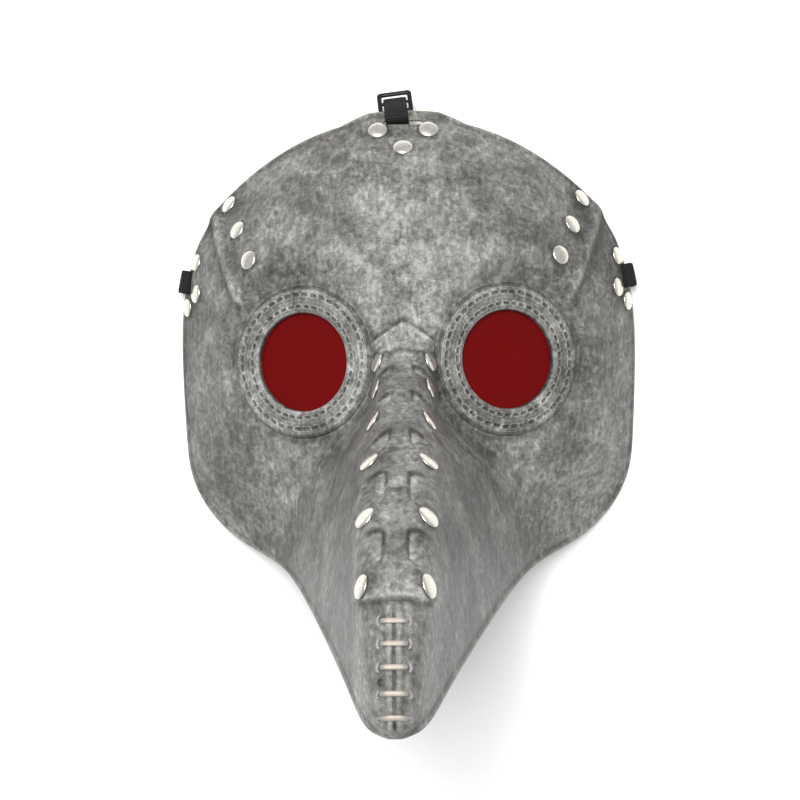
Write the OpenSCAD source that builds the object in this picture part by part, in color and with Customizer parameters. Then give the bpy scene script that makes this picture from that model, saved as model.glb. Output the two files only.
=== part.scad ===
// Plague doctor mask, lying face up on its rim.
// A thin moulded sheet with a long beak, open at the back and under the beak, with two round
// lenses, cap rivets, elastic head straps through slots, and three tri-glide buckles.
// +Z is the way the face looks, +Y the top of the head, +X the viewer's right.

/* [Sheet] */
// Width across the temples at the rim
mask_w = 199; // [192:1:206]
// Height of the beak's highest point above the table
mask_h = 213; // [206:1:220]
// Thickness of the moulded sheet
sheet_t = 1.5; // [1.2:0.1:1.8]
// How far the strap tab stands above the forehead's edge
tab_rise = 3.2; // [2.5:0.1:4]

/* [Eyes] */
// Distance of each lens centre from the middle plane
eye_x = 41.7; // [40:0.1:43]
// Tilt of each lens towards its temple, in degrees
eye_tilt = 22; // [20:0.5:24]
// Diameter of the eye openings
eye_d = 40; // [38:0.5:42]
// Outer diameter of the raised eye rings
ring_d = 61; // [58:0.5:62]
// Thickness of the red lens film
lens_t = 0.6; // [0.4:0.1:0.8]

/* [Rivets] */
// Diameter of the rivet caps
cap_d = 8; // [7:0.1:8.4]
// Height of a cap's dome
cap_h = 1.3; // [1:0.1:1.6]
// Diameter of the posts
post_d = 2.6; // [2.2:0.1:3]
// Diameter of the backs, inside the mask
back_d = 6.2; // [6:0.1:7]

/* [Straps] */
// Width of the elastic
elastic_w = 10; // [8:0.5:10.4]
// Thickness of the elastic
elastic_t = 1; // [0.8:0.1:1.1]
// Length of the top strap slot
top_slot_l = 16.5; // [15:0.5:18]
// Length of each temple strap slot
side_slot_l = 11.5; // [11:0.5:12]
// Width of the slots
slot_w = 2.2; // [2:0.1:2.4]

/* [Hidden] */

$fn = 48;
grey = [0.47, 0.47, 0.46];
nickel = [0.82, 0.81, 0.78];
red = [0.62, 0.05, 0.05, 0.6];
black = [0.06, 0.06, 0.065];

// The whole part is moved along Y so that its origin is under the middle of its box.
mid_y = 16.9;

// Sections of the sheet, from the forehead's edge to the beak's tip. Each holds the middle
// line's Y and Z, how far the nose stands out of it, the trimmed edge's X, Y and Z, and how
// full the section is in Y and in Z.
SECTIONS = [
    [119.5, 22,    0, 83,   83,    9,   2.2, 2.4],
    [108.5, 31.5,  0, 89,   73,    8,   2.2, 2.8],
    [93,    42,    0, 94,   60,    7,   2.2, 3.2],
    [76,    50,    0, 98,   44,    4,   2.2, 3.6],
    [58,    55,    0, 99.5, 26,    0,   2.2, 3.6],
    [43,    57,    0, 99,   6,     0,   2.2, 3.4],
    [32,    57,    1, 98,   -14,   0,   2.2, 3.2],
    [24,    60,    5, 97,   -31,   0,   2.1, 3.0],
    [18,    65,   11, 90,   -46,   1,   2.0, 2.6],
    [13,    71.5, 17, 77,   -59,   6,   2.0, 2.2],
    [8,     81,   19, 62,   -66,   15,  2.1, 2.0],
    [0.6,   98,   17, 50,   -70,   36,  2.3, 2.2],
    [-12,   125,  11, 37.5, -77,   84,  2.7, 2.6],
    [-24,   151.5, 6, 28.7, -83.4, 119, 3.4, 3.0],
    [-39,   176.7, 3, 21.2, -89,   150, 4.4, 3.8],
    [-57,   198.5, 2, 15,   -94,   178, 5.5, 5.5],
    [-74,   208.5, 1, 11.5, -97.5, 192, 6,   6],
    [-88,   213,   0, 8.8,  -98.3, 201, 4,   4],
    [-96.5, 211.5, 0, 6.5,  -99.3, 204.5, 3, 3],
    [-101,  206,   0, 2.5,  -100.6, 205, 2,  2]];
LAST = len(SECTIONS) - 1;
stretch_x = mask_w / 199;
stretch_z = mask_h / 213;
nose_half = 17;
nose_lean = [0.8, 0.6];
tab_flat = 15;
tab_foot = 27;
tab_reach = 0.6;

// Eye seats: the sheet is flat out to seat_r round each lens and joins the face by blend_r.
eye_y = 16;
eye_z = 46.5 * stretch_z;
seat_r = 32;
blend_r = 44;

// Below the bridge the nose stands clear of the seats: its flanks drop from nose_x over
// nose_foot.
bridge_y = 26;
bridge_blend = 8;
nose_x = 9;
nose_foot = 4;

// Mesh: rows along the face and columns across it, closer together near the middle.
ROWS = 40;
COLS = 48;
col_crowding = 1.4;

function section(i) = i < 0 ? 2 * SECTIONS[0] - SECTIONS[1]
    : i > LAST ? 2 * SECTIONS[LAST] - SECTIONS[LAST - 1]
    : SECTIONS[i];

// A smooth cubic blend of the four sections nearest to t.
function blended(t) =
    let (i = min(floor(t), LAST - 1), f = t - i)
    ((1 - f) ^ 3 * section(i - 1)
    + (3 * f ^ 3 - 6 * f ^ 2 + 4) * section(i)
    + (-3 * f ^ 3 + 3 * f ^ 2 + 3 * f + 1) * section(i + 1)
    + f ^ 3 * section(i + 2)) / 6;

function ease(x) = let (c = max(0, min(1, x))) c * c * (3 - 2 * c);

// The eye seat's plane over a point of the plan, and how strongly the sheet follows it.
function seat_z(x, y) = eye_z - tan(eye_tilt) * (abs(x) - eye_x);
function seat_pull(x, y) =
    let (r = norm([(abs(x) - eye_x) / cos(eye_tilt), y - eye_y]),
         on_nose = ease((bridge_y - y) / bridge_blend) * (1 - ease((abs(x) - nose_x) / nose_foot)))
    ease((blend_r - r) / (blend_r - seat_r)) * (1 - on_nose);

// The sheet's outer face: t runs from the forehead's edge to the tip, u from edge to edge.
function face(t, u) =
    let (s = blended(t), a = abs(u), x = s[3] * stretch_x * u,
         lift = s[2] / (1 + (abs(x) / nose_half) ^ 4),
         base_y = s[0] - s[2] * nose_lean[0],
         base_z = s[1] - s[2] * nose_lean[1],
         tab = max(0, min(1, (tab_foot - abs(x)) / (tab_foot - tab_flat)))
             * max(0, 1 - t / tab_reach),
         y = base_y + (s[4] - base_y) * a ^ s[6] + lift * nose_lean[0] + tab * tab_rise,
         z = (base_z + (s[5] - base_z) * a ^ s[7] + lift * nose_lean[1]) * stretch_z)
    [x, y, z + (seat_z(x, y) - z) * seat_pull(x, y)];

function unit(v) = v / norm(v);
function clamped(v, low, high) = max(low, min(high, v));

// Its outward normal, from short steps along and across.
function face_normal(t, u) =
    let (d = 0.02, t0 = clamped(t, d, LAST - d), u0 = clamped(u, d - 1, 1 - d))
    unit(cross(face(t0, u0 + d) - face(t0, u0 - d), face(t0 - d, u0) - face(t0 + d, u0)));

// The inner face, which stops at the table where the rim stands on it.
function inner(t, u) =
    let (p = face(t, u) - sheet_t * face_normal(t, u))
    [p[0], p[1], max(0, p[2])];

// The section whose outer face passes over a point of the plan.
function section_at(x, y, t = 3, left = 12) = left == 0 ? t
    : let (d = 0.01, here = plan_y(x, t), slope = (plan_y(x, t + d) - here) / d)
      section_at(x, y, clamped(t + clamped((y - here) / slope, -1.5, 1.5), 0.05, LAST - 0.05),
                 left - 1);
function across(x, t) = x / (blended(t)[3] * stretch_x);
function plan_y(x, t) = face(t, across(x, t))[1];

// Rivets by their place in plan. The beak's are by section and distance from the middle.
TOP_RIVETS = [[-10.6, 113.2], [10.6, 113.2], [0, 105]];
FOREHEAD_RIVETS = [[75.5, 85], [70, 72.2], [64, 58.5]];
TEMPLE_RIVETS = [[90.9, 60.6], [90.3, 47], [95.2, 41.6]];
BEAK_RIVET_SECTIONS = [8.3, 10.1, 11.45, 12.6, 13.8, 14.85];
beak_rivet_x = 10;

function in_plan(points, side) =
    [for (p = points) let (t = section_at(p[0], p[1])) [t, side * across(p[0], t)]];
function on_beak(side) =
    [for (t = BEAK_RIVET_SECTIONS) [t, side * across(beak_rivet_x, t)]];

// Stands its children on the sheet's outer face at [t, u], with +Z outwards.
module on_face(place) {
    n = face_normal(place[0], place[1]);
    translate(face(place[0], place[1]))
        rotate([0, acos(n[2]), atan2(n[1], n[0])])
            children();
}

// ---- Sheet ----

function sheet_points(side) =
    [for (i = [0:ROWS], j = [0:COLS])
        let (t = LAST * i / ROWS, v = 2 * j / COLS - 1, u = sign(v) * abs(v) ^ col_crowding)
        side == 0 ? face(t, u) : inner(t, u)];

// Two triangles for the four corners of a cell, split the other way when turned, so that the
// left half mirrors the right.
function cell(a, b, c, d, turned = false) =
    turned ? [[a, b, d], [b, c, d]] : [[a, b, c], [a, c, d]];

module sheet() {
    w = COLS + 1;
    n = (ROWS + 1) * w;
    points = concat(sheet_points(0), sheet_points(1));
    faces = [
        for (i = [0:ROWS - 1], j = [0:COLS - 1])
            let (a = i * w + j, b = a + 1, c = a + w + 1, d = a + w, left = j < COLS / 2)
            each concat(cell(a, b, c, d, left), cell(n + a, n + d, n + c, n + b, left)),
        for (j = [0:COLS - 1])
            let (a = j, c = ROWS * w + j)
            each concat(cell(a, n + a, n + a + 1, a + 1), cell(c, c + 1, n + c + 1, n + c)),
        for (i = [0:ROWS - 1])
            let (a = i * w, b = a + COLS)
            each concat(cell(a, a + w, n + a + w, n + a), cell(b, n + b, n + b + w, b + w))];
    polyhedron(points, faces);
}

module at_eye(side) {
    translate([side * eye_x, eye_y, eye_z])
        rotate([0, side * eye_tilt, 0])
            children();
}

ring_h = 1.8;
module eye_ring() {
    rotate_extrude()
        polygon([[eye_d / 2, -sheet_t / 2], [ring_d / 2 - 1, -sheet_t / 2], [ring_d / 2, 0.4],
                 [ring_d / 2 - 2, ring_h], [eye_d / 2 + 2, ring_h], [eye_d / 2, 0.8]]);
}

// A slot through the sheet, long along the local Y.
module slot_cut(width, length) {
    cube([width, length, 6 * sheet_t], center = true);
}

top_slot_y = 117.6;
side_slot = [94.1, 52.3];
side_turn = 11;
edge_hole_x = 34.3;
edge_hole_y = 110.5;
pit_section = 16.65;
pit_u = -0.40;
pit_depth = 0.9;
hole_d = 2;

module top_slot_place() {
    t = section_at(0, top_slot_y);
    translate(face(t, 0))
        rotate([0, acos(face_normal(t, 0)[2]), 90])
            children();
}

module side_slot_place(side) {
    t = section_at(side_slot[0], side_slot[1]);
    on_face([t, side * across(side_slot[0], t)])
        children();
}

module shell() {
    color(grey)
    difference() {
        union() {
            sheet();
            for (side = [-1, 1]) at_eye(side) eye_ring();
        }
        for (side = [-1, 1]) at_eye(side) cylinder(d = eye_d, h = 12, center = true);
        for (place = all_rivets()) on_face(place)
            cylinder(d = post_d + 0.2, h = 8 * sheet_t, center = true);
        for (side = [-1, 1]) on_face(in_plan([[edge_hole_x, edge_hole_y]], side)[0])
            cylinder(d = hole_d, h = 8 * sheet_t, center = true);
        on_face([pit_section, pit_u]) cylinder(d = hole_d, h = 2 * pit_depth, center = true);
        top_slot_place() slot_cut(slot_w + 0.5, top_slot_l);
        for (side = [-1, 1]) side_slot_place(side) slot_cut(slot_w + 0.3, side_slot_l);
    }
}

// ---- Lenses ----

module lens(side) {
    color(red)
    at_eye(side)
        translate([0, 0, -sheet_t - lens_t - 0.05])
            cylinder(d = eye_d + 6, h = lens_t);
}

// ---- Rivets ----

function all_rivets() = concat(
    in_plan(TOP_RIVETS, 1),
    in_plan(FOREHEAD_RIVETS, -1), in_plan(FOREHEAD_RIVETS, 1),
    in_plan(TEMPLE_RIVETS, -1), in_plan(TEMPLE_RIVETS, 1),
    on_beak(-1), on_beak(1));

cap_gap = 0.3;
back_gap = 1.05;
back_h = 1.1;
post_depth = 0.7;

// Heights of the sheet over the rivet's own plane, on a circle of radius r around it.
function heights(place, r, inside) =
    let (p = face(place[0], place[1]), n = face_normal(place[0], place[1]), d = 0.05,
         per_t = norm(face(place[0] + d, place[1]) - face(place[0] - d, place[1])) / (2 * d),
         per_u = norm(face(place[0], place[1] + d) - face(place[0], place[1] - d)) / (2 * d))
    [for (a = [0:30:330])
        let (t = clamped(place[0] + r * sin(a) / per_t, 0, LAST),
             u = clamped(place[1] + r * cos(a) / per_u, -1, 1),
             q = inside ? inner(t, u) : face(t, u))
        (q - p) * n];

// How far the cap's base stands out of that plane, and how far the back's face is under it.
function cap_rise(place) = cap_gap + max(0, max(heights(place, cap_d / 2, false)));
function back_drop(place) =
    back_gap + max(sheet_t, -min(heights(place, back_d / 2 + 1.2, true)));

module cap(rise, drop) {
    translate([0, 0, rise])
        rotate_extrude()
            polygon([[0, 0], [cap_d / 2 - 0.2, 0], [cap_d / 2, 0.3], [cap_d / 2 - 0.35, 0.75],
                     [cap_d * 0.3, cap_h - 0.12], [cap_d * 0.12, cap_h], [0, cap_h]]);
    translate([0, 0, -drop - post_depth])
        cylinder(d = post_d, h = drop + post_depth + rise + 0.3);
}

module back(drop) {
    translate([0, 0, -drop - back_h])
        difference() {
            rotate_extrude()
                polygon([[0, 0], [back_d * 0.3, 0], [back_d / 2, 0.5],
                         [back_d / 2, back_h], [0, back_h]]);
            translate([0, 0, 0.3])
                cylinder(d = post_d + 0.1, h = back_h);
        }
}

module caps(places) {
    color(nickel)
    for (place = places) on_face(place) cap(cap_rise(place), back_drop(place));
}

module backs(places) {
    color(nickel)
    for (place = places) on_face(place) back(back_drop(place));
}

// ---- Straps ----

// Outline of a band of the given thickness along a path of 2-D points.
function path_normal(p, i) =
    let (a = p[max(0, i - 1)], b = p[min(len(p) - 1, i + 1)], d = unit(b - a))
    [-d[1], d[0]];
function band_outline(p, thick) = concat(
    [for (i = [0:len(p) - 1]) p[i] + path_normal(p, i) * thick / 2],
    [for (i = [len(p) - 1:-1:0]) p[i] - path_normal(p, i) * thick / 2]);

// A band whose path lies in a vertical plane: outward distance first, then height.
module upright_band(path) {
    rotate([90, 0, 0])
        linear_extrude(elastic_w, center = true)
            polygon(band_outline(path, elastic_t));
}

top_strap_x = -2.5;
top_turn = 96.5;
floor_z = 2.3;

// The top strap's path from its tail behind the slot, out over the tab's edge, round the
// buckle's middle bar and back down to the table. Distances are from the slot.
TOP_PATH = [[-7, 21], [-3.2, 21.4], [-0.6, 22.9], [0.6, 25.6], [2, 26.4], [4, 25.2],
            [6, 23.4], [7.6, 21.2], [9.2, 18], [11, 15.2], [12.3, 13.4], [12.3, 11.7],
            [11.2, 10.9], [9, 10.5], [5, 9.2], [-2, 6.2], [-8, 3.8], [-14, floor_z + 1.2],
            [-68, floor_z + 1.2]];
top_bar = [10.6, 12.6];

module top_strap_place() {
    translate([top_strap_x, top_slot_y, 0])
        rotate([0, 0, top_turn])
            children();
}

module top_strap() {
    color(black)
    top_strap_place() upright_band(TOP_PATH);
}

// Each end of the side strap, from its tail behind the temple slot, round the rim and in.
SIDE_PATH = [[-4.5, 6.3], [-2.4, 6.9], [-0.7, 8.3], [1.2, 9.9], [3, 9.9], [4.3, 8.4],
             [4.8, 6], [4.6, 3.9], [3.3, 2.6], [1.6, floor_z], [-8, floor_z]];
// Its run across the table, by hand, in plan.
SIDE_RUN = [[-88, 51.1], [-61.7, 46], [-51, 33], [-32, 27], [-8, 37], [15, 45],
            [40, 47], [61.7, 46], [88, 51.1]];

module side_strap_place(side) {
    translate([side * side_slot[0], side_slot[1], 0])
        rotate([0, 0, side > 0 ? side_turn : 180 - side_turn])
            children();
}

module side_strap() {
    color(black) {
        for (side = [-1, 1]) side_strap_place(side) upright_band(SIDE_PATH);
        translate([0, 0, floor_z - elastic_t / 2])
            linear_extrude(elastic_t)
                polygon(band_outline(SIDE_RUN, elastic_w));
    }
}

// ---- Buckles ----

buckle_w = 15;
buckle_l = 10.6;
buckle_t = 1.6;
bar_pitch = 4.3;
window_w = 11.2;

module rounded_plate(l, w, r) {
    square([l - 2 * r, w], center = true);
    square([l, w - 2 * r], center = true);
    for (x = [-1, 1], y = [-1, 1])
        translate([x * (l / 2 - r), y * (w / 2 - r)])
            circle(r);
}

module buckle_frame() {
    linear_extrude(buckle_t, center = true)
        difference() {
            rounded_plate(buckle_l, buckle_w, 1.6);
            square([buckle_l - 3.2, window_w], center = true);
        }
}

module cross_bar() {
    rotate([90, 0, 0])
        cylinder(d = buckle_t, h = window_w + 1, center = true);
}

top_buckle_tilt = 20;
module top_buckle() {
    color(black)
    top_strap_place()
        translate([top_bar[0], 0, top_bar[1]])
            rotate([0, top_buckle_tilt, 0]) {
                buckle_frame();
                cross_bar();
            }
}

// A flat tri-glide on the strap: outer bars over it, middle bar under it.
side_rest = -17;
side_gap = 0.3;
module side_buckle(side) {
    over = floor_z + elastic_t / 2 + side_gap;
    under = floor_z - elastic_t / 2 - side_gap;
    color(black)
    side_strap_place(side)
        translate([side_rest, 0, 0]) {
            translate([0, 0, over + buckle_t / 2]) buckle_frame();
            translate([0, 0, under - buckle_t / 2 + 0.2]) cube([2, window_w + 3, 1.2], center = true);
            for (y = [-1, 1])
                translate([-1, y * (window_w + 1.5) / 2 - 0.75, under - 1.2])
                    cube([2, 1.5, over - under + 2]);
        }
}

module placed() {
    translate([0, -mid_y, 0]) children();
}

placed() shell();
placed() lens(-1);  // lens_left
placed() lens(1);  // lens_right
placed() caps(in_plan(TOP_RIVETS, 1));  // caps_top
placed() caps(in_plan(FOREHEAD_RIVETS, -1));  // caps_forehead_left
placed() caps(in_plan(FOREHEAD_RIVETS, 1));  // caps_forehead_right
placed() caps(in_plan(TEMPLE_RIVETS, -1));  // caps_temple_left
placed() caps(in_plan(TEMPLE_RIVETS, 1));  // caps_temple_right
placed() caps(on_beak(-1));  // caps_beak_left
placed() caps(on_beak(1));  // caps_beak_right
placed() backs(in_plan(TOP_RIVETS, 1));  // backs_top
placed() backs(in_plan(FOREHEAD_RIVETS, -1));  // backs_forehead_left
placed() backs(in_plan(FOREHEAD_RIVETS, 1));  // backs_forehead_right
placed() backs(in_plan(TEMPLE_RIVETS, -1));  // backs_temple_left
placed() backs(in_plan(TEMPLE_RIVETS, 1));  // backs_temple_right
placed() backs(on_beak(-1));  // backs_beak_left
placed() backs(on_beak(1));  // backs_beak_right
placed() top_strap();
placed() side_strap();
placed() top_buckle();
placed() side_buckle(-1);  // left_buckle
placed() side_buckle(1);  // right_buckle
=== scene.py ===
"""Looks of the plague doctor mask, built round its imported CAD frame.

Working coordinates are millimetres, with Y = 0 on the line MID_Y in front of the row frame's
origin. to_row() turns them into the row frame's metres.
"""

import math

import bpy
import numpy as np
from mathutils import Matrix, Vector, kdtree


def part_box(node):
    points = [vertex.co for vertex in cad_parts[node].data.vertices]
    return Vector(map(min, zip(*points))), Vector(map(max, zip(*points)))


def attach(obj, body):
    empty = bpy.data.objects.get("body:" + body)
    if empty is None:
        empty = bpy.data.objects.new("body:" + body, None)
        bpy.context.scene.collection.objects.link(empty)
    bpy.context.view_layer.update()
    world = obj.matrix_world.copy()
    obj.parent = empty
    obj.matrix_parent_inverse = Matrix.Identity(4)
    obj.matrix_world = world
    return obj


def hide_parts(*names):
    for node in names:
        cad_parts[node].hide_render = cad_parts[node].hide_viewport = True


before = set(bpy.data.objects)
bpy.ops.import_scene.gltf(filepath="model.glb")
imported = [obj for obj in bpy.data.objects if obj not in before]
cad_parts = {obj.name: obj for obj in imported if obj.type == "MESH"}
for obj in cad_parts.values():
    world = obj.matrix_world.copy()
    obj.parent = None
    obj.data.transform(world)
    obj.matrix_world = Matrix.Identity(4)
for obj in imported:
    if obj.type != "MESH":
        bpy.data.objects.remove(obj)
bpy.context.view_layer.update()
rng = np.random.default_rng(7)

MM = 0.001

# ---- Driving dimensions, the same as the CAD part's ----

EYE = np.array([41.7, 16.0, 46.5])
EYE_TILT = math.radians(22)
EYE_R = 20.0
SEAT_R, BLEND_R = 32.0, 44.0
SHEET_T = 1.5
LENS_R, LENS_T = 23.0, 0.6
NOSE_HALF = 17.0
NOSE_LEAN = (0.8, 0.6)
TAB_RISE, TAB_FLAT, TAB_FOOT, TAB_REACH = 3.2, 15.0, 27.0, 0.6
CAP_R, CAP_GAP = 4.0, 0.3
BACK_R, BACK_MARGIN, BACK_GAP = 3.1, 1.2, 1.05
BRIDGE_Y, BRIDGE_BLEND, NOSE_X, NOSE_FOOT = 26.0, 8.0, 9.0, 4.0

# Middle line's Y and Z, nose lift, edge's X, Y and Z, fullness in Y and in Z.
SECTIONS = np.array([
    [119.5, 22, 0, 83, 83, 9, 2.2, 2.4],
    [108.5, 31.5, 0, 89, 73, 8, 2.2, 2.8],
    [93, 42, 0, 94, 60, 7, 2.2, 3.2],
    [76, 50, 0, 98, 44, 4, 2.2, 3.6],
    [58, 55, 0, 99.5, 26, 0, 2.2, 3.6],
    [43, 57, 0, 99, 6, 0, 2.2, 3.4],
    [32, 57, 1, 98, -14, 0, 2.2, 3.2],
    [24, 60, 5, 97, -31, 0, 2.1, 3.0],
    [18, 65, 11, 90, -46, 1, 2.0, 2.6],
    [13, 71.5, 17, 77, -59, 6, 2.0, 2.2],
    [8, 81, 19, 62, -66, 15, 2.1, 2.0],
    [0.6, 98, 17, 50, -70, 36, 2.3, 2.2],
    [-12, 125, 11, 37.5, -77, 84, 2.7, 2.6],
    [-24, 151.5, 6, 28.7, -83.4, 119, 3.4, 3.0],
    [-39, 176.7, 3, 21.2, -89, 150, 4.4, 3.8],
    [-57, 198.5, 2, 15, -94, 178, 5.5, 5.5],
    [-74, 208.5, 1, 11.5, -97.5, 192, 6, 6],
    [-88, 213, 0, 8.8, -98.3, 201, 4, 4],
    [-96.5, 211.5, 0, 6.5, -99.3, 204.5, 3, 3],
    [-101, 206, 0, 2.5, -100.6, 205, 2, 2],
])
LAST = len(SECTIONS) - 1

TOP_RIVETS = [(-10.6, 113.2), (10.6, 113.2), (0, 105)]
FOREHEAD_RIVETS = [(75.5, 85), (70, 72.2), (64, 58.5)]
TEMPLE_RIVETS = [(90.9, 60.6), (90.3, 47), (95.2, 41.6)]
BEAK_RIVET_SECTIONS = [8.3, 10.1, 11.45, 12.6, 13.8, 14.85]
BEAK_RIVET_X = 10.0
TOP_SLOT_Y, TOP_SLOT = 117.6, (2.7, 16.5)
SIDE_SLOT_AT, SIDE_SLOT = (94.1, 52.3), (2.5, 11.5)
EDGE_HOLE, PIT, HOLE_R, PIT_DEPTH = (34.3, 110.5), (16.65, -0.40), 1.0, 0.9

# The lens centres stand on Y = 16, which gives the working frame's place in the row frame.
lens_low, lens_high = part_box("lens_right")
MID_Y = EYE[1] - (lens_low.y + lens_high.y) / 2 / MM


def to_row(points):
    return (np.asarray(points, float) - (0, MID_Y, 0)) * MM


# ---- Sheet surface ----


def blended(t):
    rows = np.vstack([2 * SECTIONS[0] - SECTIONS[1], SECTIONS, 2 * SECTIONS[-1] - SECTIONS[-2]])
    i = np.minimum(np.floor(t).astype(int), LAST - 1)
    f = (t - i)[..., None]
    return (
        (1 - f) ** 3 * rows[i]
        + (3 * f**3 - 6 * f**2 + 4) * rows[i + 1]
        + (-3 * f**3 + 3 * f**2 + 3 * f + 1) * rows[i + 2]
        + f**3 * rows[i + 3]
    ) / 6


def ease(x):
    c = np.clip(x, 0, 1)
    return c * c * (3 - 2 * c)


def eye_distance(x, y):
    return np.hypot((np.abs(x) - EYE[0]) / math.cos(EYE_TILT), y - EYE[1])


def face(t, u):
    """Points of the sheet's outer face: t from the forehead's edge to the tip, u across."""
    t, u = np.broadcast_arrays(np.asarray(t, float), np.asarray(u, float))
    s = blended(t)
    a = np.abs(u)
    x = s[..., 3] * u
    lift = s[..., 2] / (1 + (np.abs(x) / NOSE_HALF) ** 4)
    base_y = s[..., 0] - s[..., 2] * NOSE_LEAN[0]
    base_z = s[..., 1] - s[..., 2] * NOSE_LEAN[1]
    tab = np.clip((TAB_FOOT - np.abs(x)) / (TAB_FOOT - TAB_FLAT), 0, 1)
    tab = tab * np.clip(1 - t / TAB_REACH, 0, 1)
    y = base_y + (s[..., 4] - base_y) * a ** s[..., 6] + lift * NOSE_LEAN[0] + tab * TAB_RISE
    z = base_z + (s[..., 5] - base_z) * a ** s[..., 7] + lift * NOSE_LEAN[1]
    seat = EYE[2] - math.tan(EYE_TILT) * (np.abs(x) - EYE[0])
    on_nose = ease((BRIDGE_Y - y) / BRIDGE_BLEND) * (1 - ease((np.abs(x) - NOSE_X) / NOSE_FOOT))
    pull = ease((BLEND_R - eye_distance(x, y)) / (BLEND_R - SEAT_R)) * (1 - on_nose)
    z = z + (seat - z) * pull
    return np.stack([x, y, z], -1)


def face_normal(t, u, d=0.02):
    t, u = np.broadcast_arrays(np.asarray(t, float), np.asarray(u, float))
    t0, u0 = np.clip(t, d, LAST - d), np.clip(u, d - 1, 1 - d)
    n = np.cross(face(t0, u0 + d) - face(t0, u0 - d), face(t0 - d, u0) - face(t0 + d, u0))
    return n / np.linalg.norm(n, axis=-1, keepdims=True)


def inner(t, u):
    p = face(t, u) - SHEET_T * face_normal(t, u)
    p[..., 2] = np.maximum(p[..., 2], 0)
    return p


def across(x, t):
    return x / blended(np.asarray(float(t)))[3]


def section_at(x, y):
    """The section whose outer face passes over a point of the plan."""
    t, d = 3.0, 0.01
    for _ in range(12):
        here = face(t, across(x, t))[1]
        slope = (face(t + d, across(x, t + d))[1] - here) / d
        t = min(max(t + min(max((y - here) / slope, -1.5), 1.5), 0.05), LAST - 0.05)
    return t


def in_plan(points, side=1):
    places = []
    for x, y in points:
        t = section_at(x, y)
        places.append((t, side * across(x, t)))
    return places


def on_beak(side):
    return [(t, side * across(BEAK_RIVET_X, t)) for t in BEAK_RIVET_SECTIONS]


RIVETS = {"top": in_plan(TOP_RIVETS)}
for name, side in (("left", -1), ("right", 1)):
    RIVETS["forehead_" + name] = in_plan(FOREHEAD_RIVETS, side)
    RIVETS["temple_" + name] = in_plan(TEMPLE_RIVETS, side)
    RIVETS["beak_" + name] = on_beak(side)


# ---- Mesh helpers ----


def add_mesh(name, points, faces, material, smooth_angle=40):
    """A mesh object from working points, shaded smooth but for edges over smooth_angle."""
    mesh = bpy.data.meshes.new(name)
    mesh.from_pydata(to_row(points).tolist(), [], faces)
    mesh.validate()
    obj = bpy.data.objects.new(name, mesh)
    bpy.context.scene.collection.objects.link(obj)
    mesh.materials.append(material)
    shade(obj, smooth_angle)
    return obj


def shade(obj, angle):
    mesh = obj.data
    mesh.polygons.foreach_set("use_smooth", np.ones(len(mesh.polygons), bool))
    mesh.set_sharp_from_angle(angle=math.radians(angle))


def set_values(obj, **values):
    """Writes point attributes that the materials read."""
    for name, value in values.items():
        old = obj.data.attributes.get(name)
        if old:
            obj.data.attributes.remove(old)
        kind = "FLOAT_VECTOR" if np.ndim(value) == 2 else "FLOAT"
        attribute = obj.data.attributes.new(name, kind, "POINT")
        field = "vector" if kind == "FLOAT_VECTOR" else "value"
        attribute.data.foreach_set(field, np.asarray(value, np.float32).ravel())


def grid_faces(rows, cols, start=0, wrap_rows=False, wrap_cols=False, flip=False):
    """Quads of a grid of rows x cols vertices."""
    i = np.arange(rows if wrap_rows else rows - 1)[:, None]
    j = np.arange(cols if wrap_cols else cols - 1)[None, :]
    i2, j2 = (i + 1) % rows, (j + 1) % cols
    a, b, c, d = i * cols + j, i * cols + j2, i2 * cols + j2, i2 * cols + j
    quads = np.stack(np.broadcast_arrays(*((a, d, c, b) if flip else (a, b, c, d))), -1)
    return (quads.reshape(-1, 4) + start).tolist()


def basis(normal, along=(0, 1, 0)):
    """Columns: across, along, normal."""
    n = np.asarray(normal, float) / np.linalg.norm(normal)
    a = np.asarray(along, float)
    a = a - n * (a @ n)
    a /= np.linalg.norm(a)
    return np.stack([np.cross(a, n), a, n], 1)


def lathe(profile, segments):
    """Points and quads of a profile of (radius, height) turned about Z, closed at both ends."""
    angle = np.linspace(0, 2 * np.pi, segments, endpoint=False)
    body = np.array([p for p in profile if p[0] > 0], float)
    ring = np.stack([np.cos(angle), np.sin(angle)], -1)
    points = np.concatenate(
        [np.column_stack([ring * r, np.full(segments, h)]) for r, h in body]
    )
    quads = grid_faces(len(body), segments, wrap_cols=True)
    last = (len(body) - 1) * segments
    caps = [list(range(segments))[::-1], list(range(last, last + segments))]
    return points, quads + caps


def smooth_path(points, rounds=3):
    """Corner cutting that keeps the ends."""
    p = np.asarray(points, float)
    for _ in range(rounds):
        q = np.empty((2 * len(p) - 2, p.shape[1]))
        q[0::2], q[1::2] = p[:-1] * 0.75 + p[1:] * 0.25, p[:-1] * 0.25 + p[1:] * 0.75
        p = np.vstack([p[:1], q, p[-1:]])
    return p


def even_path(points, step):
    p = np.asarray(points, float)
    s = np.concatenate([[0], np.cumsum(np.linalg.norm(np.diff(p, axis=0), axis=1))])
    at = np.linspace(0, s[-1], max(2, int(round(s[-1] / step)) + 1))
    return np.stack([np.interp(at, s, p[:, k]) for k in range(p.shape[1])], 1)


def ridge(distance, width):
    """1 on the line, falling off on both sides of it."""
    return np.exp(-((distance / width) ** 2))


def rounded_box(x, y, half_x, half_y, r):
    """Signed distance to a rounded rectangle, negative inside."""
    qx, qy = np.abs(x) - half_x + r, np.abs(y) - half_y + r
    return np.hypot(np.maximum(qx, 0), np.maximum(qy, 0)) + np.minimum(np.maximum(qx, qy), 0) - r


# ---- Materials ----


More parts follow.
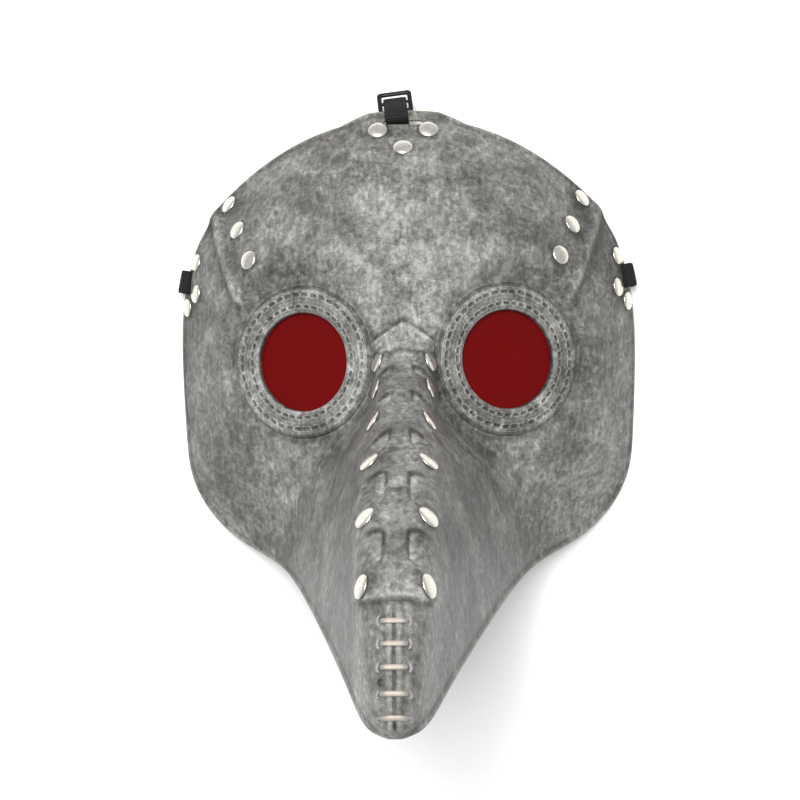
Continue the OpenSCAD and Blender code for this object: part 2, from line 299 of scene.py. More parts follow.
class Look:
    """A node material: call nodes by type, link by (node, socket) pairs."""

    def __init__(self, name):
        self.material = bpy.data.materials.new(name)
        self.material.use_nodes = True
        self.tree = self.material.node_tree
        self.shader = self.tree.nodes["Principled BSDF"]
        self.output = self.tree.nodes["Material Output"]

    def node(self, kind, inputs=(), **settings):
        n = self.tree.nodes.new("ShaderNode" + kind)
        for key, value in settings.items():
            setattr(n, key, value)
        for key, value in dict(inputs).items():
            if isinstance(value, bpy.types.NodeSocket):
                self.tree.links.new(value, n.inputs[key])
            else:
                n.inputs[key].default_value = value
        return n

    def set(self, **inputs):
        for key, value in inputs.items():
            socket = self.shader.inputs[key.replace("_", " ")]
            if isinstance(value, bpy.types.NodeSocket):
                self.tree.links.new(value, socket)
            else:
                socket.default_value = value

    def math(self, operation, a, b=0.0, clamp=False):
        return self.node("Math", {0: a, 1: b}, operation=operation, use_clamp=clamp).outputs[0]

    def place(self, scale=(1, 1, 1)):
        """Object coordinates, stretched."""
        at = self.node("TexCoord").outputs["Object"]
        return self.node("Mapping", {"Vector": at, "Scale": scale}).outputs[0]

    def value(self, name):
        return self.node("Attribute", attribute_name=name).outputs["Fac"]

    def noise(self, at, size_mm, detail=4.0, roughness=0.55, distortion=0.0):
        inputs = {"Vector": at, "Scale": 1 / (size_mm * MM), "Detail": detail,
                  "Roughness": roughness, "Distortion": distortion}
        return self.node("TexNoise", inputs).outputs["Fac"]

    def cells(self, at, size_mm, feature="DISTANCE_TO_EDGE"):
        inputs = {"Vector": at, "Scale": 1 / (size_mm * MM)}
        return self.node("TexVoronoi", inputs, feature=feature).outputs["Distance"]

    def ramp(self, factor, stops):
        n = self.node("ValToRGB", {"Fac": factor})
        while len(n.color_ramp.elements) < len(stops):
            n.color_ramp.elements.new(0.5)
        for element, (position, color) in zip(n.color_ramp.elements, stops):
            element.position = position
            element.color = (*color, 1)
        return n.outputs["Color"]

    def mix(self, factor, a, b, blend="MIX"):
        n = self.node("Mix", {0: factor}, data_type="RGBA", blend_type=blend)
        for index, value in ((6, a), (7, b)):
            if isinstance(value, bpy.types.NodeSocket):
                self.tree.links.new(value, n.inputs[index])
            else:
                n.inputs[index].default_value = (*value, 1)
        return n.outputs[2]

    def bump(self, height, depth_mm, strength=1.0, under=None):
        inputs = {"Height": height, "Distance": depth_mm * MM, "Strength": strength}
        if under is not None:
            inputs["Normal"] = under
        return self.node("Bump", inputs).outputs["Normal"]


def grey_leather():
    look = Look("antiqued_grey")
    at = look.place()
    recess, wear, grain = look.value("recess"), look.value("wear"), look.value("grain")
    tan = look.value("tan")
    clouds = look.noise(at, 30, 4, 0.6, 0.6)
    mottle = look.noise(at, 6.0, 6, 0.68, 0.8)
    fleck = look.noise(at, 1.9, 5, 0.62, 0.5)
    streak = look.noise(look.place((1, 0.28, 0.5)), 1.6, 4, 0.6, 0.4)
    speck = look.noise(at, 0.9, 4, 0.6)
    # Tone: darker with dark paint in the hollows and with painted shade, lighter with rubbed paint
    # and with painted highlight.
    tone = look.math("MULTIPLY", recess, -0.25)
    for layer, weight in ((clouds, 0.85), (mottle, 0.85), (fleck, 0.75), (streak, 0.55),
                          (wear, 0.17)):
        tone = look.math("ADD", tone, look.math("MULTIPLY", layer, weight))
    tone = look.math("SUBTRACT", tone, 1.0)
    color = look.ramp(tone, [
        (0.14, (0.026, 0.0255, 0.022)),
        (0.34, (0.070, 0.069, 0.063)),
        (0.50, (0.140, 0.139, 0.128)),
        (0.66, (0.245, 0.243, 0.228)),
        (0.86, (0.440, 0.435, 0.412)),
    ])
    edge = look.mix(look.math("MULTIPLY", mottle, 0.7), (0.36, 0.285, 0.20), (0.13, 0.10, 0.075))
    color = look.mix(tan, color, edge)
    # Cells on coordinates scaled by noise, so that their size and direction wander.
    scatter = look.node("TexNoise", {"Vector": at, "Scale": 450.0}).outputs["Color"]
    wander = look.node("VectorMath", {0: at, 1: scatter, 2: (0.0016,) * 3},
                       operation="MULTIPLY_ADD").outputs[0]
    veins = look.math("MINIMUM", look.cells(wander, 2.1), 0.35)
    crinkle = look.math("ADD", look.math("MULTIPLY", veins, 1.6),
                        look.noise(at, 1.9, 4, 0.6, 1.2))
    depth = look.math("ADD", look.math("MULTIPLY", grain, 0.85), 0.1)
    fine = look.bump(speck, 0.12, 0.6)
    relief = look.bump(crinkle, 0.30, depth, fine)
    look.set(
        Base_Color=color,
        Roughness=look.math("ADD", look.math("MULTIPLY", mottle, 0.22),
                            look.math("ADD", look.math("MULTIPLY", recess, 0.30), 0.24)),
        Normal=relief,
        Coat_Normal=relief,
        Coat_Weight=look.math("MULTIPLY", look.math("SUBTRACT", grain, 0.35, True), 1.1),
        Coat_Roughness=0.16,
    )
    return look.material


def lining():
    look = Look("raw_lining")
    at = look.place()
    fibres = look.noise(at, 1.2, 6, 0.7, 0.4)
    color = look.ramp(look.math("ADD", look.math("MULTIPLY", fibres, 0.5),
                                look.math("MULTIPLY", look.noise(at, 17, 4), 0.5)),
                      [(0.3, (0.05, 0.045, 0.04)), (0.55, (0.115, 0.105, 0.095)),
                       (0.75, (0.19, 0.175, 0.155))])
    look.set(Base_Color=color, Roughness=0.85, Normal=look.bump(fibres, 0.18, 0.8))
    return look.material


def red_film():
    look = Look("red_film")
    at = look.place()
    clear = look.node("BsdfTransparent", {"Color": (0.40, 0.004, 0.004, 1)}).outputs[0]
    look.set(Base_Color=(0.26, 0.003, 0.004, 1), Roughness=0.05, Specular_IOR_Level=0.25,
             Normal=look.bump(look.noise(at, 14, 2), 0.12, 0.6))
    mixed = look.node("MixShader", {0: 0.42, 1: clear, 2: look.shader.outputs[0]})
    look.tree.links.new(mixed.outputs[0], look.output.inputs["Surface"])
    return look.material


def nickel():
    look = Look("polished_nickel")
    at = look.place()
    smudge = look.noise(at, 2.2, 5, 0.6)
    scratch = look.noise(look.place((1, 9, 1)), 0.35, 3, 0.6)
    look.set(
        Base_Color=look.ramp(smudge, [(0.3, (0.64, 0.62, 0.56)), (0.7, (0.80, 0.78, 0.71))]),
        Metallic=1.0,
        Roughness=look.math("ADD", look.math("MULTIPLY", smudge, 0.16), 0.20),
        Normal=look.bump(scratch, 0.012, 0.5),
    )
    return look.material


def black_elastic():
    look = Look("black_elastic")
    flow = look.node("Attribute", attribute_name="flow").outputs["Vector"]
    knit = look.node("TexWave", {"Vector": flow, "Scale": 0.42, "Distortion": 1.2,
                                 "Detail": 2.0, "Detail Scale": 2.0}, bands_direction="X")
    fuzz = look.noise(look.place(), 0.5, 4, 0.7)
    height = look.math("ADD", look.math("MULTIPLY", knit.outputs["Fac"], 0.6), fuzz)
    look.set(
        Base_Color=look.ramp(height, [(0.35, (0.003, 0.003, 0.0035)), (0.8, (0.012, 0.012, 0.013)),
                                      (1.0, (0.03, 0.03, 0.032))]),
        Roughness=0.85,
        Specular_IOR_Level=0.12,
        Normal=look.bump(height, 0.10, 0.7),
    )
    return look.material


def black_plastic():
    look = Look("black_plastic")
    at = look.place()
    cloud = look.noise(at, 3.0, 3)
    look.set(
        Base_Color=look.ramp(cloud, [(0.3, (0.004, 0.0045, 0.006)), (0.7, (0.010, 0.011, 0.013))]),
        Roughness=look.math("ADD", look.math("MULTIPLY", look.noise(at, 0.6, 3), 0.18), 0.24),
        Specular_IOR_Level=0.3,
        Normal=look.bump(look.noise(at, 0.28, 2), 0.02, 0.5),
    )
    return look.material


def worn_tan():
    look = Look("worn_staple")
    at = look.place()
    top = look.value("wear")
    blotch = look.noise(at, 1.4, 5, 0.65)
    worn = look.mix(blotch, (0.46, 0.41, 0.33), (0.30, 0.26, 0.20))
    grey = look.mix(blotch, (0.30, 0.295, 0.28), (0.17, 0.165, 0.155))
    look.set(Base_Color=look.mix(top, grey, worn), Roughness=0.45,
             Normal=look.bump(blotch, 0.08, 0.6), Coat_Weight=0.15)
    return look.material


LEATHER, LINING, FILM, NICKEL = grey_leather(), lining(), red_film(), nickel()
ELASTIC, PLASTIC, STAPLE = black_elastic(), black_plastic(), worn_tan()


# ---- Relief of the sheet ----

FOLD_CREST = np.array([(82.7, 82.4), (78.2, 67.5), (71.6, 50.0), (66.6, 39.4)])
FOLD_H, FOLD_W = 2.2, 2.5
# The nose plate's peak, the fall of its top line, half its width and its height.
PLATE_TOP, PLATE_FALL, PLATE_HALF, PLATE_H = 31.3, 0.70, 14.0, 1.05
ARCH_Y, ARCH_BEND = 20.7, 0.045
STRAP_END_Y, STRAP_END_BEND, STRAP_HALF, STRAP_H = -59.5, 0.02, 13.0, 0.35
SEAM_END_Y, WELT_X, WELT_H, SLIT_W, SLIT_DEPTH = -98.0, 1.35, 0.55, 0.42, 0.75
STAPLE_Y = [-66.1, -72.3, -78.7, -86.0, -92.9]
# Each leaf-shaped hollow between two rivets: its share of the way from one to the next where
# it starts and ends, how far from the middle it starts and fades out, and its slant.
HOLLOWS = [(0.30, 0.62, 3.9, 12.0, 0.085), (0.33, 0.66, 3.9, 12.0, 0.06),
           (0.34, 0.72, 3.8, 12.0, 0.045), (0.28, 0.80, 4.0, 12.0, 0.016),
           (0.26, 0.78, 4.0, 11.0, 0.010)]
HOLLOW_DEPTH, HOLLOW_CORNER = 1.1, 3.2
LIP_H, GROOVE_DEPTH, GROOVE_IN = 0.30, 0.16, 2.3
PAD_REACH, PAD_DROP, PAD_LIFT = 9.0, 1.2, 2.0


def polyline_distance(x, y, points):
    best = np.full(np.shape(x), 1e9)
    share = np.zeros(np.shape(x))
    n = len(points) - 1
    for k in range(n):
        ax, ay = points[k]
        bx, by = points[k + 1]
        f = np.clip(((x - ax) * (bx - ax) + (y - ay) * (by - ay))
                    / ((bx - ax) ** 2 + (by - ay) ** 2), 0, 1)
        d = np.hypot(x - ax - f * (bx - ax), y - ay - f * (by - ay))
        share = np.where(d < best, (k + f) / n, share)
        best = np.minimum(best, d)
    return best, share


def waves(p, size, seed, count=7):
    """Smooth wandering values of about -1 to 1, features about size mm across."""
    r = np.random.default_rng(seed)
    total = np.zeros(p.shape[:-1])
    for _ in range(count):
        k = r.normal(size=3)
        k *= 2 * np.pi / size * r.uniform(0.6, 1.5) / np.linalg.norm(k)
        total += np.sin(p @ k + r.uniform(0, 2 * np.pi))
    return total / math.sqrt(count)


class Relief:
    """What is pressed into the plain face, at each point of it.

    height is in millimetres. The other values say how dark the surface looks, with dark paint in its
    hollows and painted shade; how light, with rubbed paint and painted highlight; and how crinkled
    it is: 0 is not at all, and 1 fully.
    """

    def __init__(self, t, u):
        self.t, self.u = t, u
        self.p = face(t, u)
        self.x, self.y = self.p[..., 0], self.p[..., 1]
        self.ax = np.abs(self.x)
        self.eye = eye_distance(self.x, self.y)
        self.edge = self.edge_distance()
        self.beak = ease((t - 5.2) / 1.2)
        self.below_arch = ARCH_Y - ARCH_BEND * self.x**2 - self.y
        self.above_end = self.y - (STRAP_END_Y - STRAP_END_BEND * self.x**2)
        self.height, self.recess, self.wear = (np.zeros_like(self.x) for _ in range(3))
        for press in (self.undulate, self.nose_plate, self.strap, self.hollows, self.seam,
                      self.folds, self.rim, self.rivet_pads, self.paint_shade, self.lighten_brow_and_nose):
            press()
        self.height *= ease((self.eye - 30.5) / 3)
        self.recess, self.wear = np.clip(self.recess, 0, 1.3), np.clip(self.wear, 0, 1.2)
        brow = 0.40 + 0.6 * ease(1.15 - np.hypot(self.x / 62, (self.y - 52) / 40))
        self.grain = np.maximum(brow * (1 - self.beak), 0.5 * self.beak)

    def edge_distance(self):
        t, u, d = self.t, self.u, 0.01
        wide = face(t, np.clip(u + d, -1, 1)) - face(t, np.clip(u - d, -1, 1))
        side = (1 - np.abs(u)) * np.linalg.norm(wide, axis=-1) / (2 * d)
        return np.minimum(side, np.linalg.norm(self.p - face(np.zeros_like(t), u), axis=-1))

    def undulate(self):
        """Waves of hand forming, from broad to fine."""
        away = ease((self.eye - 33) / 8) * ease(self.edge / 6)
        self.height += 0.42 * waves(self.p, 38, 3) * away * (1 - self.beak * 0.7)
        self.height += 0.10 * waves(self.p, 11, 5) * away
        self.height += 0.045 * waves(self.p, 4.2, 9, 12) * away * (1 - self.beak * 0.5)

    def nose_plate(self):
        """A raised piece with a peaked top and an arched lower line."""
        peak = PLATE_FALL * (np.sqrt(self.ax**2 + 1.2) - 1.1)
        below_top = PLATE_TOP - peak - self.y
        here = ease((PLATE_HALF + 1.5 - self.ax) / 5)
        here = here * ease((self.t - 4.5) / 0.4) * ease((9.5 - self.t) / 0.6)
        plate = ease(below_top / 1.6 + 0.5) * ease(0.5 - self.below_arch / 1.4)
        self.height += PLATE_H * plate * here
        # Painted shade lines beside the plate's top and arched lower line, and lighter lines along
        # its edges.
        self.recess += (ridge(below_top + 0.9, 1.1) + 0.7 * ridge(self.below_arch - 0.9, 1.2)) * here
        self.wear += (0.9 * ridge(below_top - 1.0, 0.9) + ridge(self.below_arch + 0.7, 0.8)) * here

    def strap(self):
        """The strap down the nose, thicker at its arched end."""
        on = ease(self.below_arch / 1.4 + 0.5) * ease(self.above_end + 0.5)
        side = ease((STRAP_HALF + 1.5 - self.ax) / 3.0)
        thicker = 1 + ease((self.t - 13.8) / 0.8)
        self.height += STRAP_H * thicker * on * side * self.beak
        end = ease((STRAP_HALF - self.ax) / 3) * ease((self.t - 14.2) / 0.4)
        # Painted shade just below the strap's raised end, and a lighter line along its edge.
        self.recess += 0.7 * ridge(self.above_end + 0.8, 0.9) * end
        self.wear += 0.9 * ridge(self.above_end - 0.7, 0.8) * end

    def hollows(self):
        """Leaf-shaped hollows between the strap's fingers."""
        d = 0.02
        t = np.clip(self.t, d, LAST - d)
        per_t = np.linalg.norm(face(t + d, self.u) - face(t - d, self.u), axis=-1) / (2 * d)
        pairs = zip(BEAK_RIVET_SECTIONS, BEAK_RIVET_SECTIONS[1:])
        for (above, below), (start, stop, x_in, x_out, slant) in zip(pairs, HOLLOWS):
            from_t, to_t = above + start * (below - above), above + stop * (below - above)
            middle = (from_t + to_t) / 2 + slant * (self.ax - x_in)
            along = (self.t - middle) * per_t
            half = (to_t - from_t) / 2 * per_t
            outline = rounded_box(self.ax - (x_in + x_out) / 2 - 2, along,
                                  (x_out - x_in) / 2 + 2, half, np.minimum(half, HOLLOW_CORNER))
            fade = ease((x_out + 1.5 - self.ax) / 6.5)
            self.height -= HOLLOW_DEPTH * ease(0.5 - outline / 1.1) * fade
            # The upper border is darker: painted shade where the hollow's wall turns from the light.
            upper = ease(0.5 - along / 3)
            self.recess += 1.4 * ridge(outline - 0.3, 0.7) * (0.3 + 0.7 * upper) * fade
            # Lighter at the inner ends: painted highlight on the step down from the strap.
            tip = ease((x_in + 5.5 - self.ax) / 4) * fade
            self.wear += (1.2 * ridge(outline + 1.1, 0.7) + 0.45 * ease(-outline / 1.2)) * tip

    def seam(self):
        """Two welts below the strap, under the staples, with a slit that opens at the end."""
        on = ease((-self.above_end - 0.8) / 1.5) * ease((self.y - SEAM_END_Y) / 1.5)
        slit = ridge(self.x, SLIT_W) * on
        self.height += WELT_H * ridge(self.ax - WELT_X, 0.85) * on - SLIT_DEPTH * slit
        # Painted shade in the slit and in the furrows beside the welts, which are lighter.
        opening = ease((STAPLE_Y[-1] - 1.0 - self.y) / 1.2)
        self.recess += (0.2 + opening) * slit + 0.4 * ridge(self.ax - 2.9, 0.7) * on
        self.wear += (0.5 * ease((5 - self.ax) / 2) + 0.7 * ridge(self.ax - 1.2, 0.8)) * on

    def folds(self):
        """Folded ridges from the forehead's corners to the eye rings."""
        away, share = polyline_distance(self.ax, self.y, FOLD_CREST)
        outside = self.ax > np.interp(-self.y, -FOLD_CREST[:, 1], FOLD_CREST[:, 0])
        on = ease((share + 0.02) / 0.1) * ease((1.06 - share) / 0.12)
        on = on * ease((self.eye - 30.4) / 4)
        self.height += (FOLD_H * ridge(away, FOLD_W) - 0.6 * ridge(away - 6, 3.5)) * on
        # A lighter crest, and painted shade beside the fold, most on its outer side.
        self.wear += 1.1 * ridge(away, 1.1) * on
        self.recess += 0.75 * ridge(away - 3.4, 2.4) * on * (0.35 + 0.65 * outside)

    def rim(self):
        """A lip and a shallow groove along the cut edge."""
        self.height += LIP_H * ridge(self.edge, 1.0)
        self.height -= GROOVE_DEPTH * ridge(self.edge - GROOVE_IN, 0.9)
        # Lighter along the lip, and painted shade in the groove.
        self.wear += 0.5 * ridge(self.edge, 0.9)
        self.recess += 0.35 * ridge(self.edge - GROOVE_IN - 0.1, 1.2)

    def rivet_pads(self):
        """Pads pressed up or down to meet the rivets' caps."""
        for place in (place for places in RIVETS.values() for place in places):
            off = self.p - face(*place)
            near = np.linalg.norm(off, axis=-1) < PAD_REACH
            up = off @ face_normal(*place)
            out = np.sqrt(np.maximum(np.sum(off**2, -1) - up**2, 0))
            lift = np.clip(cap_rise(place) - 0.03 - up - self.height, -PAD_DROP, PAD_LIFT)
            self.height += lift * ease((CAP_R + 1.4 - out) / 1.7) * near
            # A dark ring round each cap: painted shade under its edge.
            self.recess += 0.45 * ridge(out - CAP_R - 0.4, 0.9) * near

    def paint_shade(self):
        """Painted shade round the eye rings and down the steep flanks, and a painted dark in the pit
        by the seam.
        """
        self.recess += 0.50 * ridge(self.eye - 32.6, 1.2)
        cloud = 0.5 + 0.5 * np.clip(waves(self.p, 24, 11), -1, 1)
        self.recess += 0.18 * ridge(self.eye - 37, 5) * cloud
        # Steep faces turn away from the overhead light: painted shade.
        steep = ease((0.82 - face_normal(self.t, self.u)[..., 2]) / 0.5)
        on_strap = self.beak * ease((16 - self.ax) / 5)
        self.recess += (0.62 - 0.34 * self.beak) * steep * (1 - on_strap)
        pit = np.linalg.norm(self.p - face(*PIT), axis=-1)
        self.recess += 1.3 * ease((1.4 * HOLE_R - pit) / 0.6)

    def lighten_brow_and_nose(self):
        """Lighter on the brow, a painted highlight for the glints there, and lighter along the top
        of the nose.
        """
        self.wear += ease(1.2 - np.hypot(self.x / 52, (self.y - 50) / 38))
        self.wear += 0.25 * self.beak * ease((9 - self.ax) / 5)


def heights(place, r, inside):
    """Heights of the sheet's face over the tangent plane at a place, round a circle of radius r."""
    t, u = place
    p, n, d = face(t, u), face_normal(t, u), 0.05
    per_t = np.linalg.norm(face(t + d, u) - face(t - d, u)) / (2 * d)
    per_u = np.linalg.norm(face(t, u + d) - face(t, u - d)) / (2 * d)
    a = np.radians(np.arange(0, 360, 30))
    ts = np.clip(t + r * np.sin(a) / per_t, 0, LAST)
    us = np.clip(u + r * np.cos(a) / per_u, -1, 1)
    return ((inner(ts, us) if inside else face(ts, us)) - p) @ n


def cap_rise(place):
    return CAP_GAP + max(0.0, heights(place, CAP_R, False).max())


def back_drop(place):
    return BACK_GAP + max(SHEET_T, -heights(place, BACK_R + BACK_MARGIN, True).min())


# ---- Sheet ----


def steps(pieces):
    """Rising values over (start, stop, count) stretches."""
    parts = [np.linspace(a, b, n, endpoint=False) for a, b, n in pieces]
    return np.concatenate(parts + [[pieces[-1][1]]])


RING_CUT_R = 29.6  # Under the eye rings, which carry the lens openings.
# The sheet's grid: finer along the beak and the nose, and coarser by INNER_STEP on the lining.
INNER_STEP = 3
T_STEPS = steps([(0, 0.6, 15), (0.6, 5.4, 84), (5.4, 7.8, 75), (7.8, 15.6, 366),
                 (15.6, 18.4, 69), (18.4, LAST, 21)])
HALF_U = steps([(0, 0.16, 30), (0.16, 0.45, 33), (0.45, 0.94, 45), (0.94, 1.0, 12)])
U_STEPS = np.concatenate([-HALF_U[:0:-1], HALF_U])


def make_sheet():
    t, u = np.meshgrid(T_STEPS, U_STEPS, indexing="ij")
    relief = Relief(t, u)
    outer = face(t, u) + relief.height[..., None] * face_normal(t, u)
    outer[..., 2] = np.maximum(outer[..., 2], 0)
    ti, ui = t[::INNER_STEP, ::INNER_STEP], u[::INNER_STEP, ::INNER_STEP]
    under = inner(ti, ui)
    rows, cols = t.shape
    low_rows, low_cols = ti.shape
    start = rows * cols
    points = np.concatenate([outer.reshape(-1, 3), under.reshape(-1, 3)])
    faces = [quad[::-1] for quad in grid_faces(rows, cols)]
    faces += grid_faces(low_rows, low_cols, start)
    outer_id = np.arange(start).reshape(rows, cols)
    inner_id = start + np.arange(low_rows * low_cols).reshape(low_rows, low_cols)
    for line, low, turned in (
        (outer_id[0], inner_id[0], False), (outer_id[-1], inner_id[-1], True),
        (outer_id[:, 0], inner_id[:, 0], True), (outer_id[:, -1], inner_id[:, -1], False),
    ):
        for k in range(len(low) - 1):
            run = line[k * INNER_STEP:(k + 1) * INNER_STEP + 1].tolist()
            loop = run + [int(low[k + 1]), int(low[k])]
            faces.append(loop[::-1] if turned else loop)
    obj = add_mesh("moulded_sheet", points, faces, LEATHER, 50)
    obj.data.materials.append(LINING)
    below = {"recess": 0.4, "wear": 0.0, "grain": 0.4}
    values = {name: np.concatenate([getattr(relief, name).ravel(), np.full(ti.size, level)])
              for name, level in below.items()}
    return obj, points, values


def cutter(centre, axes, size=None, radius=None, low=-6):
    """A solid to take away: a round-ended slot of a size, or a hole of a radius, down to low."""
    if radius is None:
        angle = np.linspace(0, 2 * np.pi, 40, endpoint=False)
        r = size[0] / 2
        ring = np.stack([r * np.cos(angle), r * np.sin(angle)
                         + np.sign(np.sin(angle) + 1e-9) * (size[1] / 2 - r)], -1)
    else:
        angle = np.linspace(0, 2 * np.pi, 96 if radius > 5 else 24, endpoint=False)
        ring = radius * np.stack([np.cos(angle), np.sin(angle)], -1)
    n = len(ring)
    local = np.concatenate([np.column_stack([ring, np.full(n, h)]) for h in (low, 6)])
    faces = grid_faces(2, n, wrap_cols=True) + [list(range(n))[::-1], list(range(n, 2 * n))]
    return add_mesh("cutter", local @ np.asarray(axes).T + centre, faces, LEATHER)


def cut_sheet(obj):
    cutters = []
    for side in (-1, 1):
        tilt = Matrix.Rotation(side * EYE_TILT, 3, "Y")
        cutters.append(cutter(EYE * (side, 1, 1), np.array(tilt), radius=RING_CUT_R))
    t = section_at(0, TOP_SLOT_Y)
    cutters.append(cutter(face(t, 0), basis(face_normal(t, 0), (1, 0, 0)), TOP_SLOT))
    for side in (-1, 1):
        t, u = in_plan([SIDE_SLOT_AT], side)[0]
        n = face_normal(t, u)
        cutters.append(cutter(face(t, u), basis(n, np.cross((0, 0, 1), n)), SIDE_SLOT))
        t, u = in_plan([EDGE_HOLE], side)[0]
        cutters.append(cutter(face(t, u), basis(face_normal(t, u)), radius=HOLE_R))
    cutters.append(cutter(face(*PIT), basis(face_normal(*PIT)), radius=HOLE_R,
                          low=-PIT_DEPTH))
    for c in cutters:
        modifier = obj.modifiers.new("cut", "BOOLEAN")
        modifier.operation, modifier.solver, modifier.object = "DIFFERENCE", "MANIFOLD", c
    bpy.context.view_layer.update()
    graph = bpy.context.evaluated_depsgraph_get()
    mesh = bpy.data.meshes.new_from_object(obj.evaluated_get(graph))
    obj.modifiers.clear()
    obj.data = mesh
    for c in cutters:
        bpy.data.objects.remove(c)


def finish_sheet(obj, points, values):
    """Carries the surface values over to the cut mesh, and gives the lining its material."""
    tree = kdtree.KDTree(len(points))
    row = to_row(points)
    for index, p in enumerate(row):
        tree.insert(p, index)
    tree.balance()
    mesh = obj.data
    nearest = np.array([tree.find(v.co)[1] for v in mesh.vertices])
    count = len(T_STEPS) * len(U_STEPS)
    on_outer = nearest < count
    faces_outer = np.array([all(on_outer[v] for v in f.vertices) for f in mesh.polygons])
    faces_inner = np.array([not any(on_outer[v] for v in f.vertices) for f in mesh.polygons])
    walls = ~faces_outer & ~faces_inner
    mesh.polygons.foreach_set("material_index", faces_inner.astype(np.int32))
    tan = np.zeros(len(mesh.vertices))
    for index in np.nonzero(walls)[0]:
        for v in mesh.polygons[index].vertices:
            tan[v] = 1.0
    place = np.array([v.co for v in mesh.vertices])
    tan[np.linalg.norm(place - to_row(face(*PIT)), axis=1) < 3 * MM] = 0
    set_values(obj, tan=tan * 0.8, **{k: v[nearest] for k, v in values.items()})
    shade(obj, 50)


sheet, sheet_points, sheet_values = make_sheet()
cut_sheet(sheet)
finish_sheet(sheet, sheet_points, sheet_values)
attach(sheet, "mask")
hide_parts("shell")


# ---- Eye rings ----

RING_H, RING_SEGMENTS = 1.8, 528
# Each row of stitches: radius, count, half its length and half its width.
STITCH_ROWS = [(27.5, 44, 1.40, 0.62), (22.75, 41, 1.18, 0.52)]
STITCH_DEPTH, STITCH_RIM = 0.62, 0.26


def ring_profile():
    """(radius, height) up the bore, over the ring, and back underneath it."""
    up = [(EYE_R + out, h) for out, h in (
        (0.05, -SHEET_T), (0.05, -0.7), (0.05, 0.1), (0.12, 0.55), (0.3, 0.95), (0.6, 1.3),
        (0.95, 1.52), (1.3, 1.66))]
    top = [(r, RING_H) for r in np.arange(EYE_R + 1.6, 29.31, 0.22)]
    down = [(29.5, 1.74), (29.7, 1.62), (29.85, 1.38), (30.05, 1.46), (30.25, 1.36),
            (30.4, 1.06), (30.6, 1.1), (30.8, 0.86), (31.0, 0.5), (31.2, 0.2), (31.45, -0.12)]
    under = [(30.6, -0.5), (29.5, -SHEET_T), (25, -SHEET_T)]
    return np.array(up + top + down + under)


def make_ring(side):
    profile = ring_profile()
    angle = np.linspace(0, 2 * np.pi, RING_SEGMENTS, endpoint=False)
    r, a = np.meshgrid(profile[:, 0], angle, indexing="ij")
    h = np.repeat(profile[:, 1:2], RING_SEGMENTS, 1)
    upper = (h > 1.5) | (np.abs(h - RING_H) < 0.01)
    recess, wear = np.zeros_like(h), np.zeros_like(h)
    for row_r, count, half_long, half_wide in STITCH_ROWS:
        pitch = 2 * np.pi / count
        index = np.floor(a / pitch)
        jitter = rng.uniform(-1, 1, (3, count))[:, index.astype(int)]
        along = (a / pitch - index - 0.5) * pitch * row_r + 0.12 * jitter[0]
        out = r - row_r + 0.10 * jitter[1] + along * 0.06 * jitter[2]
        outline = rounded_box(along, out, half_long, half_wide, 0.5)
        h -= STITCH_DEPTH * ease(0.5 - (outline + 0.05) / 0.55) * upper
        h += STITCH_RIM * ridge(outline - 0.42, 0.30) * upper
        # Dark paint and painted shade in the stitch holes, with lighter rims round them.
        recess += 0.65 * ease(0.5 - (outline + 0.10) / 0.5) * upper
        wear += 0.9 * ridge(outline - 0.42, 0.30) * upper
        recess += 0.25 * ridge(outline - 1.0, 0.35) * upper
    wear += 1.0 * ridge(r - 20.8, 0.5) * (h > 0.9)
    wear += 0.8 * ridge(r - 29.35, 0.35)
    # Painted shade in the grooves of the piping, at the ring's foot and down the bore.
    recess += 0.9 * ridge(r - 29.9, 0.14) + 0.9 * ridge(r - 30.45, 0.14)
    recess += 0.8 * ridge(r - 31.4, 0.5)
    recess += 0.8 * (r < EYE_R + 0.2) * (h < 0.4)
    local = np.stack([r * np.cos(a), r * np.sin(a), h], -1)
    local += (0.05 * waves(local, 13, 21 + side))[..., None] * (0, 0, 1) * upper[..., None]
    tilt = np.array(Matrix.Rotation(side * EYE_TILT, 3, "Y"))
    points = local.reshape(-1, 3) @ tilt.T + EYE * (side, 1, 1)
    faces = grid_faces(len(profile), RING_SEGMENTS, wrap_rows=True, wrap_cols=True, flip=True)
    obj = add_mesh("eye_ring_" + ("left" if side < 0 else "right"), points, faces, LEATHER, 60)
    set_values(obj, recess=recess.ravel().clip(0, 1.3), wear=wear.ravel().clip(0, 1.2),
               grain=np.full(recess.size, 0.3), tan=np.zeros(recess.size))
    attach(obj, "mask")


def make_lens(side):
    radii = np.concatenate([[0.4], np.linspace(2, LENS_R - 0.15, 26), [LENS_R]])
    angle = np.linspace(0, 2 * np.pi, 120, endpoint=False)
    r, a = np.meshgrid(radii, angle, indexing="ij")
    sag = 0.05 * np.cos(2 * a + side) * (r / LENS_R) ** 2
    sides = []
    for top in (True, False):
        h = sag - SHEET_T - 0.05 - (0 if top else LENS_T)
        h = h + (r > LENS_R - 0.1) * (-0.12 if top else 0.12)
        sides.append(np.stack([r * np.cos(a), r * np.sin(a), h], -1).reshape(-1, 3))
    n = len(sides[0])
    rows, cols = r.shape
    faces = grid_faces(rows, cols, wrap_cols=True)
    faces += grid_faces(rows, cols, n, wrap_cols=True, flip=True)
    rim, first = (rows - 1) * cols, list(range(cols))
    faces += [[rim + k, n + rim + k, n + rim + (k + 1) % cols, rim + (k + 1) % cols]
              for k in range(cols)]
    faces += [first[::-1], [n + k for k in first]]
    tilt = np.array(Matrix.Rotation(side * EYE_TILT, 3, "Y"))
    name = "left" if side < 0 else "right"
    points = np.concatenate(sides) @ tilt.T + EYE * (side, 1, 1)
    obj = add_mesh("lens_film_" + name, points, faces, FILM)
    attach(obj, "mask")
    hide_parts("lens_" + name)


for side in (-1, 1):
    make_ring(side)
    make_lens(side)


